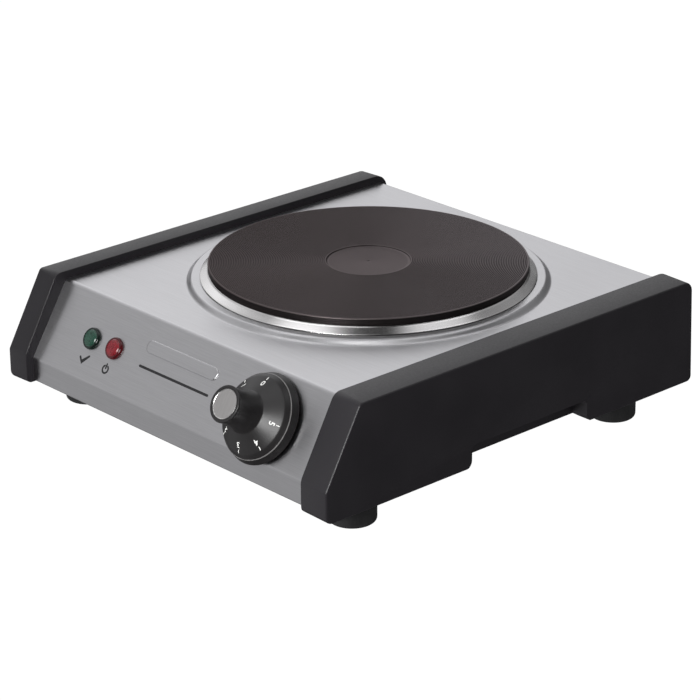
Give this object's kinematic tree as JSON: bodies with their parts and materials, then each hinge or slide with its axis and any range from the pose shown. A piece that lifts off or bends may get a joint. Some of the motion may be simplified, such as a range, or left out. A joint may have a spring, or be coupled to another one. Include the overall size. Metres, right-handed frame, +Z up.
{
  "type": "hot plate burner",
  "caption": "Countertop electric hot plate with a round sealed cast-iron plate on a folded steel case, black side rails, a front dial knob and two lamps.",
  "frame": {"origin": "on the table, under the middle of the whole object's bounding box", "axes": "+X to the right of someone facing the dial, +Y away from them to the back, +Z up"},
  "size_m": [0.279, 0.3072, 0.088],
  "materials": {
    "case_steel": "brushed stainless steel, grain running left to right",
    "pan_paint": "satin black paint on sheet steel",
    "rail_plastic": "black heat-resistant moulding with a fine moulded texture",
    "screw_steel": "zinc-plated steel",
    "bracket_steel": "galvanised sheet steel",
    "shield_metal": "aluminised sheet",
    "foot_rubber": "black rubber",
    "plate_iron": "cast iron turned with fine concentric grooves and darkened",
    "trim_chrome": "polished stainless ring",
    "ceramic": "fired ceramic",
    "mineral_fibre": "pressed mineral fibre",
    "heating_wire": "coiled resistance wire, oxidised",
    "brass_parts": "brass",
    "copper_parts": "copper",
    "phenolic": "dark phenolic moulding",
    "steatite": "pale steatite moulding",
    "knob_plastic": "black phenolic with a low gloss",
    "insert_metal": "brushed aluminium disc with a bright turned rim",
    "green_lens": "green translucent plastic",
    "red_lens": "red translucent plastic",
    "lamp_plastic": "black moulding",
    "lamp_glass": "clear glass neon lamp",
    "gland_nylon": "black nylon",
    "white_nylon": "white nylon",
    "lead_sleeve": "glass-fibre sleeving",
    "lamp_wire": "red insulated wire"
  },
  "bodies": {
    "case": {"top_cover": "case_steel", "base_pan": "pan_paint", "left_rail": "rail_plastic", "right_rail": "rail_plastic", "rail_screws": "screw_steel", "base_screws": "screw_steel", "feet": "foot_rubber", "foot_screws": "screw_steel", "hotplate": "plate_iron", "trim_ring": "trim_chrome", "ceramic_filling": "ceramic", "heating_coils": "heating_wire", "insulation_rings": "mineral_fibre", "plate_undercover": "bracket_steel", "undercover_nut": "screw_steel", "centre_stud": "screw_steel", "mounting_bridge": "bracket_steel", "bridge_nut": "screw_steel", "terminal_block": "steatite", "terminal_tabs": "brass_parts", "thermal_cutout": "steatite", "cutout_strap": "bracket_steel", "sensor_bulb": "copper_parts", "bulb_clip": "bracket_steel", "capillary_tube": "copper_parts", "heat_shield": "shield_metal", "shield_screws": "screw_steel", "thermostat_bracket": "bracket_steel", "thermostat_screws": "screw_steel", "thermostat_body": "phenolic", "thermostat_base": "steatite", "ready_lens": "green_lens", "on_lens": "red_lens", "lamp_housings": "lamp_plastic", "neon_lamps": "lamp_glass", "cord_gland": "gland_nylon", "gland_nut": "gland_nylon", "mains_terminal": "white_nylon", "mains_terminal_screws": "brass_parts", "earth_stud": "screw_steel", "supply_leads": "lead_sleeve", "plate_leads": "lead_sleeve", "lamp_leads": "lamp_wire"},
    "knob": {"control_shaft": "screw_steel", "knob": "knob_plastic", "knob_clip": "bracket_steel", "knob_insert": "insert_metal"},
    "plunger": {"switch_plunger": "steatite"}
  },
  "joints": [
    {"name": "knob_turn", "type": "hinge", "parent": "case", "child": "knob", "pos_m": [0.073, -0.12028, 0.05275], "axis": [0, 0.8478, -0.5303], "range_deg": [0, 270]},
    {"name": "plunger_slide", "type": "slide", "parent": "case", "child": "plunger", "axis": [0, 0.8478, -0.5303], "range_m": [0, 0.0016]}
  ],
  "couplings": [
    {"joint": "plunger_slide", "follows": "knob_turn", "m_per_rad": 0.00031831}
  ]
}
